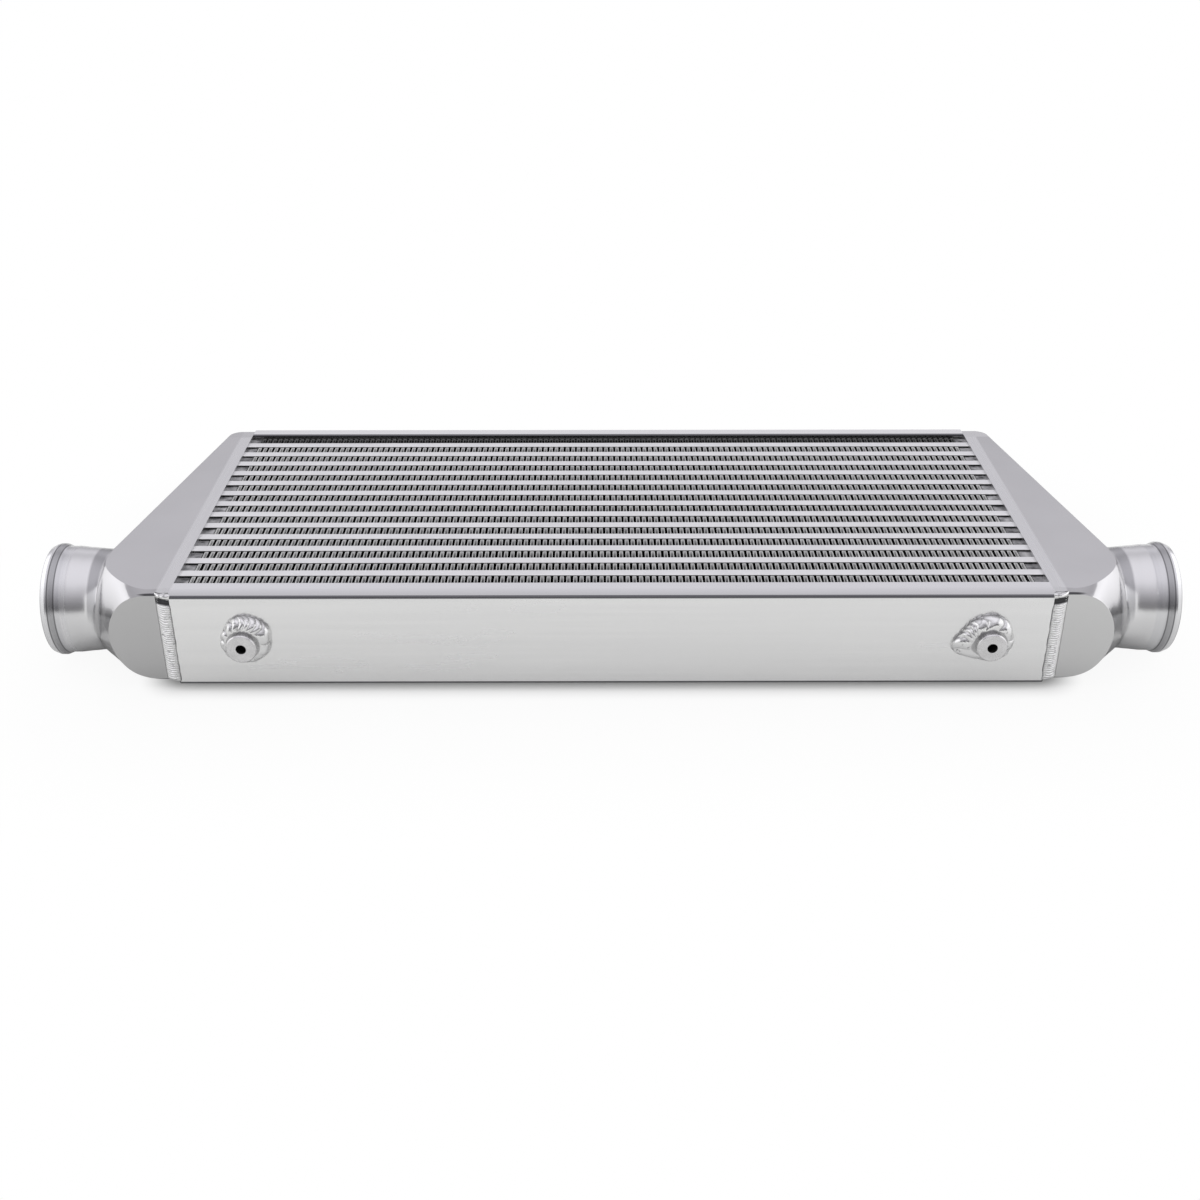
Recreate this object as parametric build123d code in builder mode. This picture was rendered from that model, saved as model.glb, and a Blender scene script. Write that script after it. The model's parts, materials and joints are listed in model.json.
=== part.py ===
from build123d import *
import os

# Bar-and-plate charge air cooler, lying flat with its cooling fins upright.
# X runs from the inlet tank to the outlet tank, -Y is the side with the mounting bosses, +Z is up.
# The origin is under the middle of the whole cooler, at the level of the lowest point of the beads.

# Core: fin rows and charge tubes alternate across the width
core_length = 600.0
fin_row_count = 14
fin_row_width = 10.6
tube_width = 8.8
parting_sheet = 0.8
long_bar_depth = 7.0
short_bar_length = 8.0
bar_recess = 1.5
short_bar_recess = 1.5

# Cooling fins and turbulators, folded from sheet
fin_fold_count = 14
fin_fold_sheet = 1.2
fin_recess = 1.0
turbulator_fold_count = 4
turbulator_fold_sheet = 1.0
turbulator_end_gap = 2.0

# Side plates: channels that stand round the outermost parting sheets
front_rail_width = 23.4
rear_rail_width = 14.7
channel_sheet = 3.5
channel_corner_radius = 1.0
flange_tip_radius = 1.0
outer_sheet = 2.5
outer_sheet_recess = 4.0
plate_end_bevel = 1.5

# End tanks
tank_depth = 68.4
tank_side_inset = 4.5
tank_wall = 4.0
tank_rear_reach = 18.3
tank_shoulder_reach = 56.0
shoulder_behind_axis = 11.4
tank_rear_corner_radius = 10.0

# Hose spigots, cast in one with the tanks
spigot_radius = 38.1
spigot_setback = 61.6
spigot_reach = 97.0
bead_height = 1.8
bead_crest_from_end = 4.8
bead_foot_from_end = 10.4
bead_lip_rise = 0.4
bead_crest_width = 3.0
waist_relief = 0.9
waist_reach = 72.0
waist_run_out = 8.0

# Bell between spigot and tank
bell_half_width = 120.0
bell_half_height = 41.5

# Bosses and welds
boss_inset = 45.5
boss_shift = 3.3
boss_radius = 10.5
boss_height = 12.0
boss_edge_chamfer = 0.8
thread_radius = 3.4
thread_depth = 10.0
boss_weld_radius = 18.5
boss_weld_height = 8.0
boss_weld_step = 5.6
boss_weld_foot_lean = 23.0
boss_weld_top_lean = 62.0
boss_weld_flat_count = 20
tank_weld_reach = 8.5
tank_weld_crown = 1.0
tank_weld_top_gap = 3.0

# Two edges of a sketch count as the same when they lie this close
match_tolerance = 0.01

# Places worked out from the sizes above
bead_radius = spigot_radius + bead_height
middle_z = bead_radius
tank_half = tank_depth / 2
tube_depth = tank_depth - 2 * bar_recess
tube_floor_z = middle_z - tube_depth / 2
row_pitch = fin_row_width + tube_width
rows_width = fin_row_count * row_pitch - tube_width
core_width = front_rail_width + rows_width + rear_rail_width
front_y = (boss_height - core_width) / 2
rear_y = front_y + core_width
first_row_y = front_y + front_rail_width
last_row_end_y = first_row_y + rows_width
core_end_x = core_length / 2
tank_front_y = front_y + tank_side_inset
tank_rear_y = rear_y - tank_side_inset
spigot_y = front_y + spigot_setback
spigot_end_x = core_end_x + spigot_reach
bead_crest_x = spigot_end_x - bead_crest_from_end
waist_x = core_end_x + waist_reach
waist_radius = spigot_radius - waist_relief
bore_radius = waist_radius - tank_wall
bore_length = spigot_end_x - waist_x
shoulder_y = spigot_y + shoulder_behind_axis
boss_x = core_end_x - boss_inset

# Stations of the neck and of the bell, from the waist to the core: share of the way, of the width
# and of the height. The neck dips to the level of the tank's flats, which run out into it.
neck_stations = (
    (0.0, 0.0, 0.0),
    (0.083, 0.006, -0.19),
    (0.153, 0.036, -0.51),
    (0.208, 0.082, -0.744),
)
bell_stations = (
    neck_stations[-1],
    (0.271, 0.141, -0.05),
    (0.333, 0.197, 0.44),
    (0.444, 0.318, 0.93),
    (0.542, 0.450, 1.0),
    (0.819, 0.879, 0.30),
    (1.0, 1.0, 0.07),
)
# The inside is cast plainer, straight between fewer of them
inner_neck_stations = (neck_stations[0], neck_stations[2], neck_stations[3])
inner_bell_stations = (bell_stations[0], bell_stations[3], bell_stations[6])

os.makedirs("parts", exist_ok=True)


def folded_sheet(start, pitch, folds, low, high, sheet):
    """Outline of a zigzag strip between two levels, as points along its upper and lower side."""
    upper = []
    lower = []
    for half in range(2 * folds + 1):
        along = start + half * pitch / 2
        crest = half % 2 == 1
        upper.append((along, high if crest else low + sheet))
        lower.append((along, high - sheet if crest else low))
    return upper + lower[::-1]


def flared(skin, stations, straight):
    """A tapering tube of elliptic section through the given stations, inset by the given skin."""
    with BuildPart() as flare:
        for along, wide, high in stations:
            half_width = waist_radius + wide * (bell_half_width - waist_radius) - skin
            half_height = waist_radius + high * (bell_half_height - waist_radius) - skin
            with BuildSketch(Plane.YZ.offset(waist_x - along * waist_reach)):
                with Locations((spigot_y, middle_z)):
                    Ellipse(half_width, half_height)
        loft(ruled=straight)
    return flare.part


def bell_solid(skin, neck, bell_run, straight):
    """The bell between the waist and the core end, cut to the tank's flats and front face."""
    with BuildPart() as bell:
        add(flared(skin, bell_run, straight))
        with BuildSketch(Plane.XZ.offset(-tank_front_y - skin)):
            with Locations((core_end_x + waist_reach / 2, middle_z)):
                Rectangle(2 * waist_reach, tank_depth - 2 * skin)
        extrude(amount=-2 * bell_half_width, mode=Mode.INTERSECT)
        add(flared(skin, neck, straight))
    return bell.part


def rear_sketch(skin):
    """Plan of the tank behind the spigot axis, with its slanted outer wall, inset by the skin."""
    with BuildSketch(Plane.XY.offset(middle_z - tank_half + skin)) as plan:
        with BuildLine():
            Polyline(
                (core_end_x, spigot_y),
                (core_end_x, tank_rear_y - skin),
                (core_end_x + tank_rear_reach - skin, tank_rear_y - skin),
                (core_end_x + tank_shoulder_reach - skin, shoulder_y),
                (core_end_x + tank_shoulder_reach - skin, spigot_y),
                close=True,
            )
        make_face()
        rear_corner = plan.vertices().group_by(Axis.Y)[-1].sort_by(Axis.X)[-1]
        fillet(rear_corner, radius=tank_rear_corner_radius - skin)
    return plan.sketch


# Outlet tank, at +X
with BuildPart() as outlet_tank:
    add(bell_solid(0.0, neck_stations, bell_stations, False))
    add(rear_sketch(0.0))
    extrude(amount=tank_depth)
    with BuildSketch(Plane.XY.offset(middle_z)):
        with BuildLine():
            Polyline(
                (spigot_end_x, spigot_y),
                (waist_x, spigot_y),
                (waist_x, spigot_y + waist_radius),
                (waist_x + waist_run_out, spigot_y + spigot_radius),
                (spigot_end_x - bead_foot_from_end, spigot_y + spigot_radius),
                (bead_crest_x - bead_crest_width / 2, spigot_y + bead_radius),
                (bead_crest_x + bead_crest_width / 2, spigot_y + bead_radius),
                (spigot_end_x, spigot_y + spigot_radius + bead_lip_rise),
                close=True,
            )
        make_face()
    revolve(axis=Axis((waist_x, spigot_y, middle_z), (1, 0, 0)))
    add(
        bell_solid(tank_wall, inner_neck_stations, inner_bell_stations, True),
        mode=Mode.SUBTRACT,
    )
    add(rear_sketch(tank_wall))
    extrude(amount=tank_depth - 2 * tank_wall, mode=Mode.SUBTRACT)
    with BuildSketch(Plane.YZ.offset(spigot_end_x)):
        with Locations((spigot_y, middle_z)):
            Circle(bore_radius)
    extrude(amount=-bore_length, mode=Mode.SUBTRACT)
outlet_tank.part.label = "outlet_tank"
export_step(outlet_tank.part, "parts/outlet_tank.step")

with BuildPart() as inlet_tank:
    add(mirror(outlet_tank.part, about=Plane.YZ))
inlet_tank.part.label = "inlet_tank"
export_step(inlet_tank.part, "parts/inlet_tank.step")

# Side plates: a channel on each long side, its web outside and its flanges towards the core
for name, face_y, inward, rail_width in (
    ("side_plate_front", front_y, 1, front_rail_width),
    ("side_plate_rear", rear_y, -1, rear_rail_width),
):
    flange = rail_width - outer_sheet
    with BuildPart() as side_plate:
        with BuildSketch(Plane.YZ.offset(-core_end_x)) as channel:
            with Locations((face_y + inward * flange / 2, middle_z)):
                Rectangle(flange, tank_depth)
            with Locations((face_y + inward * (flange + channel_sheet) / 2, middle_z)):
                Rectangle(flange - channel_sheet, tank_depth - 2 * channel_sheet, mode=Mode.SUBTRACT)
            web_side = channel.vertices().filter_by(lambda v: abs(v.X - face_y) < match_tolerance)
            fillet(web_side, radius=channel_corner_radius)
            tips = channel.vertices().filter_by(
                lambda v: abs(v.X - face_y - inward * flange) < match_tolerance
                and abs(abs(v.Y - middle_z) - tank_depth / 2) < match_tolerance
            )
            fillet(tips, radius=flange_tip_radius)
        extrude(amount=core_length)
        # Weld bevel along both upright ends of the web
        with BuildSketch(Plane.XY.offset(middle_z - tank_half)):
            for end in (-1, 1):
                with BuildLine():
                    Polyline(
                        (end * core_end_x, face_y),
                        (end * (core_end_x - plate_end_bevel), face_y),
                        (end * core_end_x, face_y + inward * plate_end_bevel),
                        close=True,
                    )
                make_face()
        extrude(amount=tank_depth, mode=Mode.SUBTRACT)
    side_plate.part.label = name
    export_step(side_plate.part, f"parts/{name}.step")

# Outermost parting sheets, between the channels and the first and last fin rows
for name, sheet_y in (
    ("outer_sheet_front", first_row_y - outer_sheet),
    ("outer_sheet_rear", last_row_end_y),
):
    with BuildPart() as outer_parting_sheet:
        with BuildSketch(Plane.XY.offset(middle_z - tank_half + outer_sheet_recess)):
            with Locations((0, sheet_y + outer_sheet / 2)):
                Rectangle(core_length, outer_sheet)
        extrude(amount=tank_depth - 2 * outer_sheet_recess)
    outer_parting_sheet.part.label = name
    export_step(outer_parting_sheet.part, f"parts/{name}.step")

# Cooling fins: one folded strip in each row, between the short bars
fin_strip_half = core_end_x - short_bar_length
fin_height = tube_depth - 2 * fin_recess
for row in range(fin_row_count):
    row_y = first_row_y + row * row_pitch
    with BuildPart() as cooling_fin:
        with BuildSketch(Plane.XY.offset(tube_floor_z + fin_recess)):
            with BuildLine():
                Polyline(
                    *folded_sheet(
                        -fin_strip_half,
                        2 * fin_strip_half / fin_fold_count,
                        fin_fold_count,
                        row_y,
                        row_y + fin_row_width,
                        fin_fold_sheet,
                    ),
                    close=True,
                )
            make_face()
        extrude(amount=fin_height)
    cooling_fin.part.label = f"cooling_fin_{row + 1:02d}"
    export_step(cooling_fin.part, f"parts/cooling_fin_{row + 1:02d}.step")

# Charge tubes and the turbulators in them
passage_width = tube_width - 2 * parting_sheet
passage_depth = tube_depth - 2 * long_bar_depth
for row in range(fin_row_count - 1):
    tube_y = first_row_y + fin_row_width + row * row_pitch
    with BuildPart() as charge_tube:
        with BuildSketch(Plane.YZ.offset(-core_end_x)):
            with Locations((tube_y + tube_width / 2, middle_z)):
                Rectangle(tube_width, tube_depth)
                Rectangle(passage_width, passage_depth, mode=Mode.SUBTRACT)
        extrude(amount=core_length)
    charge_tube.part.label = f"charge_tube_{row + 1:02d}"
    export_step(charge_tube.part, f"parts/charge_tube_{row + 1:02d}.step")

    with BuildPart() as turbulator:
        strip_plane = Plane(
            origin=(turbulator_end_gap - core_end_x, tube_y + parting_sheet, 0),
            x_dir=(0, 0, 1),
            z_dir=(-1, 0, 0),
        )
        with BuildSketch(strip_plane):
            with BuildLine():
                Polyline(
                    *folded_sheet(
                        middle_z - passage_depth / 2,
                        passage_depth / turbulator_fold_count,
                        turbulator_fold_count,
                        0,
                        passage_width,
                        turbulator_fold_sheet,
                    ),
                    close=True,
                )
            make_face()
        extrude(amount=-(core_length - 2 * turbulator_end_gap))
    turbulator.part.label = f"turbulator_{row + 1:02d}"
    export_step(turbulator.part, f"parts/turbulator_{row + 1:02d}.step")

# Short bars close the fin rows at both ends, and a plug closes the end of each side channel
for name, end_x in (("end_bars_left", -core_end_x), ("end_bars_right", core_end_x - short_bar_length)):
    with BuildPart() as end_bars:
        with BuildSketch(Plane.YZ.offset(end_x)):
            for row in range(fin_row_count):
                with Locations((first_row_y + row * row_pitch + fin_row_width / 2, middle_z)):
                    Rectangle(fin_row_width, tube_depth - 2 * short_bar_recess)
            for channel_y, channel_width in (
                (front_y + channel_sheet, front_rail_width - outer_sheet - channel_sheet),
                (last_row_end_y + outer_sheet, rear_rail_width - outer_sheet - channel_sheet),
            ):
                with Locations((channel_y + channel_width / 2, middle_z)):
                    Rectangle(channel_width, tank_depth - 2 * channel_sheet)
        extrude(amount=short_bar_length)
    end_bars.part.label = name
    export_step(end_bars.part, f"parts/{name}.step")

# Mounting bosses on the front plate, each with a threaded hole and a weld collar
for side, centre_x in (("left", boss_shift - boss_x), ("right", boss_shift + boss_x)):
    with BuildPart() as mounting_boss:
        with BuildSketch(Plane.XZ.offset(-front_y)):
            with Locations((centre_x, middle_z)):
                Circle(boss_radius)
        extrude(amount=boss_height)
        rim = mounting_boss.edges().group_by(Axis.Y)[0]
        chamfer(rim, length=boss_edge_chamfer)
        with BuildSketch(Plane.XZ.offset(-front_y + boss_height)):
            with Locations((centre_x, middle_z)):
                Circle(thread_radius)
        extrude(amount=-thread_depth, mode=Mode.SUBTRACT)
    mounting_boss.part.label = f"mounting_boss_{side}"
    export_step(mounting_boss.part, f"parts/mounting_boss_{side}.step")

    # The collar was laid in short runs, so it is a polygon, steep at its foot and flatter on top
    with BuildPart() as boss_weld:
        with BuildSketch(Plane.XZ.offset(-front_y)):
            with Locations((centre_x, middle_z)):
                RegularPolygon(boss_weld_radius, boss_weld_flat_count)
        extrude(amount=boss_weld_step, taper=boss_weld_foot_lean)
        extrude(
            boss_weld.faces().sort_by(Axis.Y)[0],
            amount=boss_weld_height - boss_weld_step,
            taper=boss_weld_top_lean,
        )
        with BuildSketch(Plane.XZ.offset(-front_y)):
            with Locations((centre_x, middle_z)):
                Circle(boss_radius)
        extrude(amount=boss_weld_height, mode=Mode.SUBTRACT)
    boss_weld.part.label = f"boss_weld_{side}"
    export_step(boss_weld.part, f"parts/boss_weld_{side}.step")

# Weld beads that fill the corners between the tanks and the side plates
for side, outward in (("left", -1), ("right", 1)):
    for place, face_y, inward in (("front", front_y, 1), ("rear", rear_y, -1)):
        with BuildPart() as tank_weld:
            with BuildSketch(Plane.XY.offset(middle_z - tank_half + tank_weld_top_gap)):
                with BuildLine():
                    corner_x = outward * core_end_x
                    root = Polyline(
                        (corner_x - outward * plate_end_bevel, face_y),
                        (corner_x, face_y + inward * plate_end_bevel),
                        (corner_x, face_y + inward * tank_side_inset),
                        (corner_x + outward * tank_weld_reach, face_y + inward * tank_side_inset),
                    )
                    SagittaArc(root @ 1, root @ 0, -outward * inward * tank_weld_crown)
                make_face()
            extrude(amount=tank_depth - 2 * tank_weld_top_gap)
        tank_weld.part.label = f"tank_weld_{side}_{place}"
        export_step(tank_weld.part, f"parts/tank_weld_{side}_{place}.step")
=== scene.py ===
import json
import math

import bpy
import numpy as np
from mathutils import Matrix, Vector, noise

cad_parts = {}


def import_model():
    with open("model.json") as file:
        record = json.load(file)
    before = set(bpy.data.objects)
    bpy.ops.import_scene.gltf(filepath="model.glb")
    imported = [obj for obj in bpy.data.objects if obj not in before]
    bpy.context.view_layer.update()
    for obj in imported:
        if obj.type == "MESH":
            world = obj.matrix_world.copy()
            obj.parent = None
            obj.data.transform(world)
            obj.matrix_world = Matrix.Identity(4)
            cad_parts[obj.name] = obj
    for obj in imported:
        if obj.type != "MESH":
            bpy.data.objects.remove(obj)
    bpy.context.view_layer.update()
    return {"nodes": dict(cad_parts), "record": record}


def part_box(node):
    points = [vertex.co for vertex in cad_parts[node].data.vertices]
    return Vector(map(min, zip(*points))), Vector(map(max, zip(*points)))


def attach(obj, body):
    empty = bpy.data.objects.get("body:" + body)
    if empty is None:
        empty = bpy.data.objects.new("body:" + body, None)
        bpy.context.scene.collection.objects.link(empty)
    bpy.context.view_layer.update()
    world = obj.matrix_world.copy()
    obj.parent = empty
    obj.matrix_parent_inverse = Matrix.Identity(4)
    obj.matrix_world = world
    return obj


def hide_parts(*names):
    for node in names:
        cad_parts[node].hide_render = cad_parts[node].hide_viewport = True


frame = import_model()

# Finishes, fine fins, bars, welds and a plain studio for a bar-and-plate charge air cooler.
# X runs from the inlet tank to the outlet tank, -Y is the side with the bosses, and +Z is up.

MM = 0.001
nodes = frame["nodes"]
spread = np.random.default_rng(11)

# Places taken from the frame
plate_low, plate_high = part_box("side_plate_front")
CORE_END = plate_high.x
MIDDLE_Z = (plate_low.z + plate_high.z) / 2
HALF_HEIGHT = (plate_high.z - plate_low.z) / 2
FRONT_DISTANCE = -plate_low.y
left_boss, right_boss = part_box("mounting_boss_left"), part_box("mounting_boss_right")
BOSS_SHIFT = (left_boss[0].x + right_boss[1].x) / 2
BOSS_X = (right_boss[0].x + right_boss[1].x) / 2 - BOSS_SHIFT
tube_low, tube_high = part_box("charge_tube_01")
TUBE_HALF_HEIGHT = (tube_high.z - tube_low.z) / 2
FIN_ROWS = sum(name.startswith("cooling_fin_") for name in nodes)
LAST_ROW_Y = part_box(f"cooling_fin_{FIN_ROWS:02d}")[0].y


def mm(*lengths):
    """Lengths in metres, from millimetres."""
    return [length * MM for length in lengths]


def beyond_core(*places):
    """Distances from the middle of the row, from places in millimetres beyond the core's end."""
    return [CORE_END + place * MM for place in places]


# Node trees

# Most of a noise texture's values lie between these two
NOISE_LOW, NOISE_HIGH = 0.3, 0.7


class Nodes:
    """A node tree, with short calls for the nodes that the finishes need."""

    def __init__(self, tree, coordinates):
        tree.nodes.clear()
        self.tree = tree
        self.place = self.add("ShaderNodeTexCoord").outputs[coordinates]

    def add(self, kind):
        return self.tree.nodes.new(kind)

    def plug(self, value, socket):
        """Link an output to the socket, or set a plain value on it."""
        if isinstance(value, bpy.types.NodeSocket):
            self.tree.links.new(value, socket)
        else:
            socket.default_value = value

    def axis(self, which):
        node = self.add("ShaderNodeSeparateXYZ")
        self.plug(self.place, node.inputs["Vector"])
        return node.outputs[which]

    def stretched(self, x, y, z):
        node = self.add("ShaderNodeMapping")
        self.plug(self.place, node.inputs["Vector"])
        node.inputs["Scale"].default_value = (x, y, z)
        return node.outputs["Vector"]

    def noise(self, scale, detail, vector=None):
        node = self.add("ShaderNodeTexNoise")
        self.plug(vector or self.place, node.inputs["Vector"])
        node.inputs["Scale"].default_value = scale
        node.inputs["Detail"].default_value = detail
        return node.outputs["Fac"]

    def attribute(self, name):
        node = self.add("ShaderNodeAttribute")
        node.attribute_name = name
        return node.outputs["Fac"]

    def math(self, operation, a, b=0.0):
        node = self.add("ShaderNodeMath")
        node.operation = operation
        self.plug(a, node.inputs[0])
        self.plug(b, node.inputs[1])
        return node.outputs[0]

    def absolute(self, value):
        return self.math("ABSOLUTE", value)

    def product(self, a, b):
        return self.math("MULTIPLY", a, b)

    def distance(self, a, b):
        return self.absolute(self.math("SUBTRACT", a, b))

    def length(self, a, b):
        """Length of the vector with these two components."""
        return self.math("SQRT", self.math("ADD", self.product(a, a), self.product(b, b)))

    def span(self, value, start, end, low=0.0, high=1.0, smooth=False):
        """From low to high, as the value goes from start to end."""
        node = self.add("ShaderNodeMapRange")
        if smooth:
            node.interpolation_type = "SMOOTHSTEP"
        self.plug(value, node.inputs["Value"])
        ends = (("From Min", start), ("From Max", end), ("To Min", low), ("To Max", high))
        for socket, number in ends:
            node.inputs[socket].default_value = number
        return node.outputs["Result"]

    def falling(self, value, start, end):
        """From 1 to 0, as the value goes from start to end."""
        return self.span(value, start, end, 1.0, 0.0)

    def between(self, value, rise, fall):
        """1 from the end of one edge to the start of the next, 0 outside both."""
        return self.product(self.span(value, *rise), self.falling(value, *fall))

    def varied(self, texture, low, high):
        """From low to high with a noise texture."""
        return self.span(texture, NOISE_LOW, NOISE_HIGH, low, high)

    def mix(self, share, a, b):
        node = self.add("ShaderNodeMix")
        self.plug(share, node.inputs["Factor"])
        self.plug(a, node.inputs["A"])
        self.plug(b, node.inputs["B"])
        return node.outputs["Result"]

    def colour(self, share, a, b):
        node = self.add("ShaderNodeMix")
        node.data_type = "RGBA"
        self.plug(share, node.inputs["Factor"])
        for socket, value in ((node.inputs[6], a), (node.inputs[7], b)):
            self.plug((*value, 1.0) if isinstance(value, tuple) else value, socket)
        return node.outputs[2]

    def mottled(self, texture, dark, light):
        """From the dark to the light colour with a noise texture."""
        return self.colour(self.span(texture, NOISE_LOW, NOISE_HIGH), dark, light)

    def mix_shader(self, share, a, b):
        node = self.add("ShaderNodeMixShader")
        self.plug(share, node.inputs["Fac"])
        self.plug(a, node.inputs[1])
        self.plug(b, node.inputs[2])
        return node.outputs[0]


class Shader(Nodes):
    """One material on a Principled shader, with its sockets set by name."""

    def __init__(self, name, metallic=1.0, **sockets):
        self.material = bpy.data.materials.new(name)
        self.material.use_nodes = True
        super().__init__(self.material.node_tree, "Object")
        self.bsdf = self.add("ShaderNodeBsdfPrincipled")
        out = self.add("ShaderNodeOutputMaterial")
        self.plug(self.bsdf.outputs["BSDF"], out.inputs["Surface"])
        self.bsdf.inputs["Metallic"].default_value = metallic
        for socket, value in sockets.items():
            self.bsdf.inputs[socket.replace("_", " ")].default_value = value

    def base(self, value):
        self.plug(value, self.bsdf.inputs["Base Color"])

    def roughness(self, value):
        self.plug(value, self.bsdf.inputs["Roughness"])

    def relief(self, height, distance, edge=0.0):
        """Bump of this distance in metres, over edges rounded to the given radius."""
        bump = self.add("ShaderNodeBump")
        bump.inputs["Distance"].default_value = distance
        bump.inputs["Strength"].default_value = 1.0
        self.plug(height, bump.inputs["Height"])
        if edge:
            bevel = self.add("ShaderNodeBevel")
            bevel.samples = 6
            bevel.inputs["Radius"].default_value = edge
            self.plug(bevel.outputs["Normal"], bump.inputs["Normal"])
        self.plug(bump.outputs["Normal"], self.bsdf.inputs["Normal"])

    def from_middle(self):
        """Height over or under the middle of the core."""
        return self.distance(self.axis("Z"), MIDDLE_Z)


# Finish of the tanks. Each zone's edge is the pair of places between which it comes or goes.

GROUND_STRIP_END = beyond_core(8.5, 10.0)
# Where the painted dark reflection line under the front face's edges fades out
CORNER_SHADE_LINE_FADE = beyond_core(16.0, 36.0)
NECK_START = beyond_core(57.0, 60.0)
# Where the painted shade on the neck's root starts and ends
NECK_SHADE_START, NECK_SHADE_END = beyond_core(57.0, 58.2), beyond_core(64.0, 65.5)
SPIGOT_START = beyond_core(79.0, 80.5)
BEAD_SLOPE_START, BEAD_SLOPE_END = beyond_core(87.7, 88.1), beyond_core(91.9, 92.3)
LIP_START = beyond_core(92.1, 92.7)
LIP_FACE_START = beyond_core(96.3, 96.7)
# Where each painted dark line beside the bead's slope lies, and half its width
BEAD_GROOVE_SHADES = ((87.8, 0.24), (92.0, 0.30))
GROOVE_SHADE_FADE = 2.2
END_FACE_DEPTH = mm(4.7, 5.2)
# Where the painted dark reflection line under the front face's edges lies, and how wide it is
TANK_SHADE_LINE_DEPTH = mm(6.4, 7.0)
TANK_SHADE_LINE_WIDTH = mm(1.9, 1.4)
NECK_SHADE_RISE = 10 * MM


def tank_body_tone(s, away, neck, ground):
    """Colours from the core to the neck: flats, ground strip, end faces with a painted reflection, painted
    dark lines at their edges and painted shade on the neck's root.
    """
    flats = s.mottled(s.noise(scale=9.0, detail=4.0), (0.485, 0.483, 0.488), (0.530, 0.527, 0.532))
    tone = s.colour(ground, flats, (0.66, 0.66, 0.665))
    tone = s.colour(neck, tone, (0.68, 0.678, 0.685))
    # The D-shaped end faces' tone is a painted reflection of the studio, darker on the inlet side and lighter
    # on the outlet side. It lets the ground strip show through, and also covers about the rearmost 12 mm of
    # the flats.
    inward = s.math("SUBTRACT", FRONT_DISTANCE, s.absolute(s.axis("Y")))
    face = s.falling(inward, *END_FACE_DEPTH)
    cut = s.colour(s.span(s.axis("X"), -CORE_END, CORE_END), (0.50, 0.498, 0.50), (0.60, 0.60, 0.60))
    tone = s.colour(s.product(face, s.span(ground, 0.0, 1.0, 1.0, 0.6)), tone, cut)
    # A painted dark reflection line under the front face's upper and lower edges runs out away from the core
    shade_line_start, shade_line_end = (HALF_HEIGHT - width for width in TANK_SHADE_LINE_WIDTH)
    edge = s.span(s.from_middle(), shade_line_start, shade_line_end)
    line = s.product(edge, s.span(away, *CORNER_SHADE_LINE_FADE, 0.92, 0.0))
    front = s.falling(s.axis("Y"), *(depth - FRONT_DISTANCE for depth in TANK_SHADE_LINE_DEPTH))
    tone = s.colour(s.product(line, front), tone, (0.05, 0.05, 0.055))
    # The neck's root gets a painted shade on its upper half
    painted_neck_shade = s.between(away, NECK_SHADE_START, NECK_SHADE_END)
    upper = s.span(s.axis("Z"), MIDDLE_Z, MIDDLE_Z + NECK_SHADE_RISE)
    return s.colour(s.product(painted_neck_shade, upper), tone, (0.40, 0.40, 0.41))


def spigot_tone(s, away, turned, rings, body):
    """Body colour to the neck, turned rings, then painted light and shade on the bead's slope, grooves and
    lip.
    """
    ring_tone = s.colour(s.span(rings, 0.35, 0.65), (0.585, 0.585, 0.60), (0.67, 0.67, 0.68))
    tone = s.colour(turned, body, ring_tone)
    # The slope up to the bead gets a painted shade
    slope = s.between(away, BEAD_SLOPE_START, BEAD_SLOPE_END)
    tone = s.colour(s.product(slope, 0.75), tone, (0.33, 0.33, 0.34))
    # The lip gets a painted highlight, and its end face a painted shade
    lip = s.colour(s.span(away, *LIP_FACE_START), (0.69, 0.69, 0.70), (0.42, 0.42, 0.43))
    tone = s.colour(s.span(away, *LIP_START), tone, lip)
    # Thin dark lines beside the bead's slope are painted shade
    for place, half_width in BEAD_GROOVE_SHADES:
        off = s.distance(away, *beyond_core(place))
        painted_groove_shade = s.span(off, *mm(half_width, half_width * GROOVE_SHADE_FADE), 0.8, 0.0)
        tone = s.colour(painted_groove_shade, tone, (0.12, 0.12, 0.125))
    return tone


def cast_tank_material():
    """Polished casting: faint clouding on the flats, a ground strip, turned rings on the spigot."""
    s = Shader("polished_cast_aluminium")
    away = s.absolute(s.axis("X"))
    turned = s.span(away, *SPIGOT_START)
    neck = s.span(away, *NECK_START)
    ground = s.falling(away, *GROUND_STRIP_END)
    rings = s.noise(scale=300.0, detail=4.0, vector=s.stretched(1.0, 0.012, 0.012))
    s.base(spigot_tone(s, away, turned, rings, tank_body_tone(s, away, neck, ground)))
    haze = s.varied(s.noise(scale=38.0, detail=5.0), 0.10, 0.15)
    brushed = s.varied(s.noise(scale=420.0, detail=3.0, vector=s.stretched(1.0, 0.05, 0.3)), 0.24, 0.32)
    lathe = s.varied(rings, 0.19, 0.29)
    s.roughness(s.mix(turned, s.mix(neck, s.mix(ground, haze, brushed), 0.25), lathe))
    wave = s.noise(scale=14.0, detail=2.0)
    grain = s.noise(scale=900.0, detail=2.0)
    flat_height = s.math("ADD", s.product(wave, 0.6), s.product(grain, 0.012))
    s.relief(s.mix(turned, flat_height, s.product(rings, 0.018)), distance=0.6 * MM, edge=0.3 * MM)
    return s.material


# Finish of the side plates. Depths are measured outward from the front face's distance: the rear
# plate stands a little farther out, so its rail is plain and its inner edge takes the painted shade line.

PLATE_SHADE_LINE_HEIGHT = mm(1.9, 1.5)
PLATE_SHADE_LINE_DEPTH = mm(1.6, 2.2)
# Depths over which the rail's painted shade lightens, then where the rail starts
RAIL_PAINTED_SHADE = mm(-13.0, -3.5)
RAIL_START = mm(-2.2, -1.6)


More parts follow.
